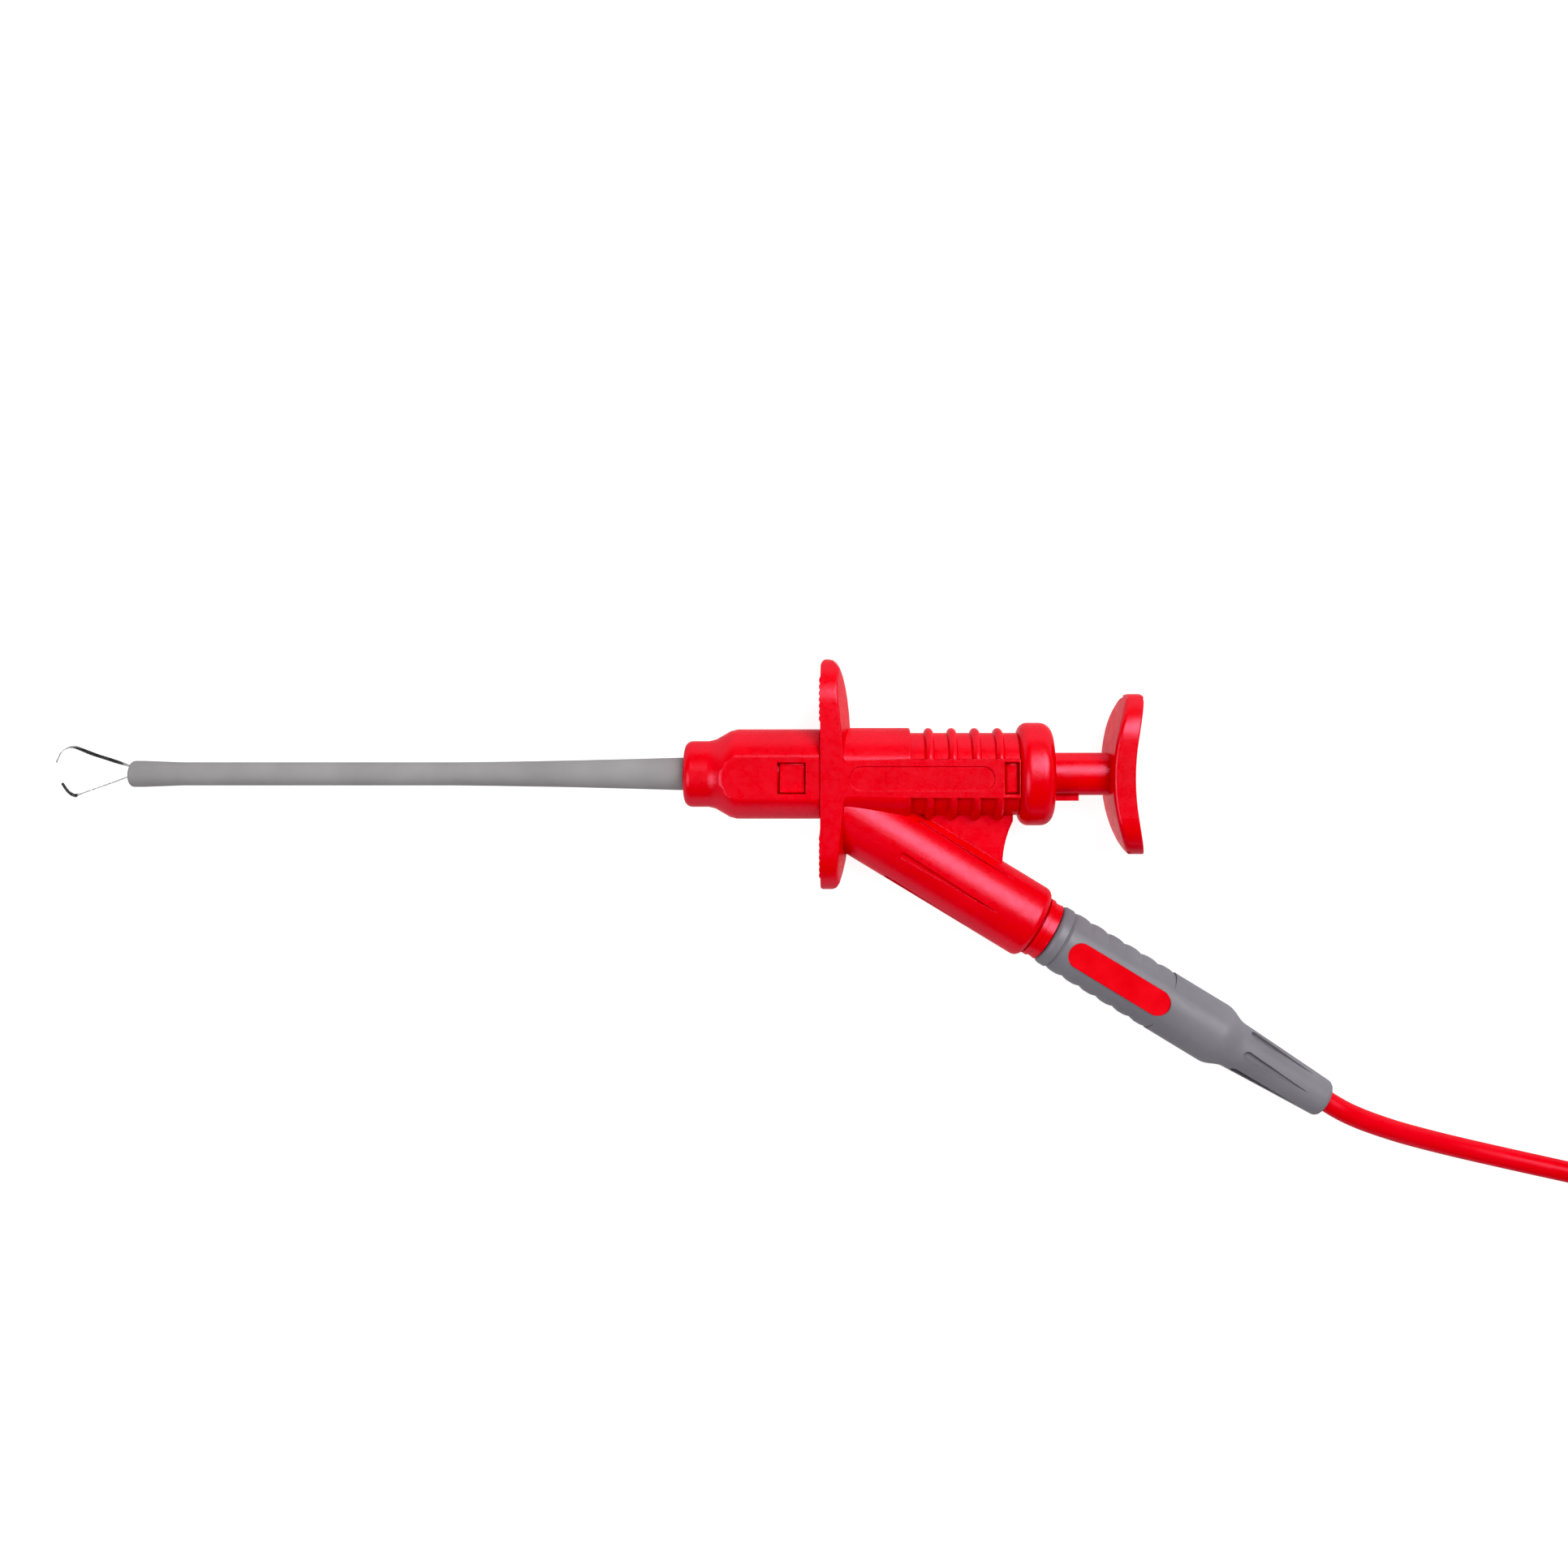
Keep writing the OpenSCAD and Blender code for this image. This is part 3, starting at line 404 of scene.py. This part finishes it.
# How far the tops of the tabs are sunk and the tips of the pad are drawn in
LATCH_SINK = 0.3 * MM
CAP_SINK = 0.45 * MM
FRONT_DRAW = 0.2 * MM
REAR_DRAW = 0.1 * MM

# From here on along the plug, its core shows in the grip's window
INLAY_FROM = 50 * MM
# Share of an axis in a direction: above LEVEL it lies along the axis, and below SQUARE across it
LEVEL = 0.99
SQUARE = 0.04


def from_flange(point):
    """Millimetres from the middle of the flange's front."""
    return (point - flange_front) / MM


def edge_middle(edge):
    return from_flange((edge.verts[0].co + edge.verts[1].co) / 2)


def within(value, span):
    return span[0] < value < span[1]


def merged_copy(node):
    shape = bmesh.new()
    shape.from_mesh(frame["nodes"][node].data)
    bmesh.ops.remove_doubles(shape, verts=shape.verts, dist=MERGE)
    bmesh.ops.dissolve_limit(shape, angle_limit=FLAT_BELOW, verts=shape.verts, edges=shape.edges)
    return shape


def sink_tabs(shape, span, depth):
    """Lowers the tops of the snap tabs that lie within a span along the shaft."""
    found = [v for v in shape.verts if within(from_flange(v.co).x, span)]
    top = max(abs(from_flange(v.co).z) for v in found)
    for vert in found:
        height = from_flange(vert.co).z
        if abs(height) > top - TAB_TOP:
            vert.co.z -= math.copysign(depth, height)


def round_edges(shape, radius, pick):
    hard = [e for e in shape.edges if e.is_manifold and e.calc_face_angle() > SHARP_ABOVE and pick(e)]
    bmesh.ops.bevel(shape, geom=hard, affect="EDGES", offset=radius, offset_type="OFFSET",
                    segments=ROUND_STEPS, profile=0.5, clamp_overlap=False, material=-1)


def draw_in_tips(shape):
    """Draws in the pad's round tips, beyond its rounded rims, until they meet these."""
    for vert in shape.verts:
        place = from_flange(vert.co)
        if place.x > PAD_FROM and abs(place.y) > PAD_TIP:
            vert.co.x += FRONT_DRAW if place.x < PAD_TIP_MIDDLE else -REAR_DRAW


def shade_smooth(shape):
    for face in shape.faces:
        face.smooth = True
    for edge in shape.edges:
        edge.smooth = not edge.is_manifold or edge.calc_face_angle() < SMOOTH_BELOW


def add_moulding(node, body, finish, rounds=(), tabs=None, last=None, second=None, in_second=None):
    """A softened stand-in for a node.

    rounds holds (radius, function that picks edges), tabs is (span of the snap tabs, how far they sink),
    and last changes the shape at the end. The faces that in_second picks get the second finish.
    """
    shape = merged_copy(node)
    if tabs:
        sink_tabs(shape, *tabs)
    for radius, pick in rounds:
        round_edges(shape, radius, pick)
    if last:
        last(shape)
    for face in shape.faces:
        face.material_index = 1 if second and in_second(face) else 0
    shade_smooth(shape)
    finishes = [finish, second] if second else [finish]
    piece = to_object(node + "_moulding", shape, *finishes)
    normals = piece.modifiers.new("even_normals", "WEIGHTED_NORMAL")
    normals.keep_sharp = True
    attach(piece, body)
    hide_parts(node)
    return piece


def square_to_rim(edge, least):
    """Whether one of the edge's faces runs along the shaft and the other stands across it."""
    ways = [abs(face.normal.x) for face in edge.link_faces]
    return min(ways) < SQUARE and max(ways) > least


def level_to_wall(edge, most):
    """Whether a level face meets a wall at the edge."""
    ways = sorted(abs(face.normal.z) for face in edge.link_faces)
    return ways[0] < most and ways[1] > LEVEL


def on_flange_rim(edge):
    """Both rims of the flange, apart from its ridged front and its tips."""
    place = edge_middle(edge)
    far_out = math.hypot(place.y, place.z) > FLANGE_ROOT
    ridged = place.x < RIDGED_TO and abs(place.y) > RIDGES_FROM
    at_tip = abs(place.y) > FLANGE_TIP
    on_rim = within(place.x, FLANGE_SPAN) and far_out and not ridged and not at_tip
    return on_rim and square_to_rim(edge, 0.6)


def on_web_edge(edge):
    """The web's rear edge."""
    place = edge_middle(edge)
    return within(place.x, WEB_SPAN) and within(place.y, WEB_ACROSS) and level_to_wall(edge, 0.05)


def on_band_edge(edge):
    """The flat band's two long edges, ahead of the ribs."""
    place = edge_middle(edge)
    up = max(abs(face.normal.z) for face in edge.link_faces)
    along = (edge.verts[0].co - edge.verts[1].co).normalized()
    on_band = within(place.x, BAND_SPAN) and within(abs(place.y), BAND_ACROSS)
    return on_band and up > LEVEL and abs(along.x) > LEVEL


def on_tab_rim(edge):
    """Outer edges of the end cap's tabs and of the handle's latch tabs."""
    place = edge_middle(edge)
    along = place.x < LATCH_TABS[1] or within(place.x, CAP_TABS)
    return along and abs(place.y) < TAB_HALF and abs(place.z) > TAB_ABOVE and level_to_wall(edge, 0.1)


def on_pad_rim(edge):
    place = edge_middle(edge)
    return place.x > PAD_FROM and abs(place.y) < PAD_TIP and square_to_rim(edge, 0.5)


def on_pad_front(edge):
    """The pad's front rim, away from the stem."""
    place = edge_middle(edge)
    faces_ahead = min(face.normal.x for face in edge.link_faces) < -0.5
    off_stem = math.hypot(place.y, place.z) > STEM_CLEAR
    return on_pad_rim(edge) and faces_ahead and off_stem


def on_pad_rear(edge):
    faces_back = max(face.normal.x for face in edge.link_faces) > 0.5
    return on_pad_rim(edge) and faces_back


def on_any_edge(edge):
    return True


def in_inlay(face):
    """Faces of the plug's core that show in the grip's window."""
    along = (face.calc_center_median() - socket_cross).dot(socket_way)
    return along > INLAY_FROM and face.normal.z > 0.5


add_moulding("handle_body", "handle", RED_ERODED,
             [(0.35 * MM, on_flange_rim), (0.35 * MM, on_web_edge), (0.4 * MM, on_band_edge),
              (0.25 * MM, on_tab_rim)], tabs=(LATCH_TABS, LATCH_SINK))
add_moulding("nose_cap", "handle", RED_ERODED)
add_moulding("end_cap", "handle", RED_POLISHED, [(0.35 * MM, on_tab_rim)],
             tabs=(CAP_TABS, CAP_SINK))
add_moulding("thumb_plunger", "plunger", RED_POLISHED,
             [(0.65 * MM, on_pad_front), (0.35 * MM, on_pad_rear)], last=draw_in_tips)
add_moulding("shaft_sleeve", "handle", SLEEVE_GREY)
PLUG_MOULDINGS = [
    add_moulding("plug_body", "test_lead", RED_POLISHED,
                 second=INLAY_RED, in_second=in_inlay),
    add_moulding("plug_grip", "test_lead", GRIP_GREY),
    add_moulding("far_plug_body", "test_lead", RED_POLISHED),
    add_moulding("far_plug_grip", "test_lead", GRIP_GREY),
    add_moulding("coil_tie", "test_lead", TIE_WEAVE, [(0.25 * MM, on_any_edge)]),
]


# Hooks: spring-steel ribbons that twist along their length, each with a disc at its root in the fork

RIBBON_T = 0.17 * MM
RIBBON_EDGE_W = 0.45 * MM
RIBBON_FLAT_W = 0.64 * MM
ROOT_R = 0.5 * MM
hinge = Vector(joint("jaw_upper_flex")["pos_m"])
# Each row: millimetres ahead of the hinge and across it, and the ribbon's twist in degrees
UPPER_RIBBON = [(0, 0, 0), (1.8, 0.6, 0), (3.6, 1.2, -14), (5.2, 1.7, -48), (6.8, 2.19, -70),
                (8.55, 2.72, -78), (10.05, 3.3, -66), (11.3, 3.82, -50), (12.3, 4.14, -42), (13.1, 4.1, -26),
                (13.85, 3.75, -10), (14.35, 3.25, -8), (14.7, 2.6, -24), (15.05, 1.85, -40)]
LOWER_RIBBON = [(0, 0, 0), (1.8, -0.12, 0), (3.8, -0.34, -10), (6, -1.12, -12), (8.5, -2.01, -12),
                (11, -2.9, -12), (11.8, -3.19, -30), (12.25, -3.36, -66), (12.6, -3.4, -78),
                (13.1, -3.12, -78), (13.7, -2.5, -77), (14.4, -1.44, -76)]
STEPS = 10
SECTION_POINTS = 16
ROOT_POINTS = 32
SQUARENESS = 0.45


def curve_through(rows):
    """Points of a smooth curve through the rows, a few steps for each."""
    rows = [Vector(row) for row in rows]
    rows = [2 * rows[0] - rows[1]] + rows + [2 * rows[-1] - rows[-2]]
    points = []
    for a, b, c, d in zip(rows, rows[1:], rows[2:], rows[3:]):
        for i in range(STEPS):
            t = i / STEPS
            points.append(b + (c - a) * t / 2 + (2 * a - 5 * b + 4 * c - d) * t * t / 2
                          + (3 * b - a - 3 * c + d) * t ** 3 / 2)
    return points + [rows[-2]]


def squared(value):
    """Squares off a circle's coordinate, so that the circle turns into a strip with round corners."""
    return math.copysign(abs(value) ** SQUARENESS, value)


def ring_at(points, i):
    """Directions of the ribbon's width and of its thickness at a point, and the width there."""
    ahead = points[min(i + 1, len(points) - 1)] - points[max(i - 1, 0)]
    across = Vector((ahead.y, ahead.x, 0)).normalized()
    twist = math.radians(points[i].z)
    wide = Vector((0, 0, math.cos(twist))) + across * math.sin(twist)
    thin = across * math.cos(twist) - Vector((0, 0, math.sin(twist)))
    width = RIBBON_EDGE_W + (RIBBON_FLAT_W - RIBBON_EDGE_W) * math.sin(twist) ** 2
    return wide, thin, width


def add_ribbon(node, rows):
    """Grows a ribbon ring by ring along its rows, and adds the disc at its root."""
    middle_z = middle(node).z
    shape = bmesh.new()
    bmesh.ops.create_circle(shape, cap_ends=True, segments=SECTION_POINTS, radius=1)
    end = shape.faces[:][0]
    section = [Vector((squared(v.co.x), squared(v.co.y))) / 2 for v in end.verts]
    points = curve_through(rows)
    for i, point in enumerate(points):
        if i:
            grown = bmesh.ops.extrude_face_region(shape, geom=[end])["geom"]
            end = next(g for g in grown if isinstance(g, bmesh.types.BMFace))
        wide, thin, width = ring_at(points, i)
        place = Vector((hinge.x - point.x * MM, hinge.y + point.y * MM, middle_z))
        for vert, share in zip(end.verts, section):
            vert.co = place + wide * share.x * width + thin * share.y * RIBBON_T
    root = bmesh.ops.create_cone(shape, cap_ends=True, segments=ROOT_POINTS, radius1=ROOT_R, radius2=ROOT_R,
                                 depth=RIBBON_EDGE_W)
    bmesh.ops.translate(shape, verts=root["verts"], vec=(hinge.x, hinge.y, middle_z))
    bmesh.ops.recalc_face_normals(shape, faces=shape.faces)
    shade_smooth(shape)
    ribbon = to_object(node + "_ribbon", shape, STRIP_STEEL)
    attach(ribbon, node)
    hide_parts(node)


add_ribbon("jaw_upper", UPPER_RIBBON)
add_ribbon("jaw_lower", LOWER_RIBBON)


# CAD nodes that keep their shape, with their finishes

FINISHES = [
    (STRIP_STEEL, ["return_spring", "pull_rod", "jaw_ferrule"]),
    (CONTACT_BRASS, ["rod_crimp", "contact_bush", "contact_wire", "socket_contact", "pin_spring",
                     "far_pin_spring"]),
    (PIN_NICKEL, ["plug_pin", "far_plug_pin"]),
]


def finish_node(node, material):
    data = frame["nodes"][node].data
    data.materials.clear()
    data.materials.append(material)


for material, nodes in FINISHES:
    for node in nodes:
        finish_node(node, material)
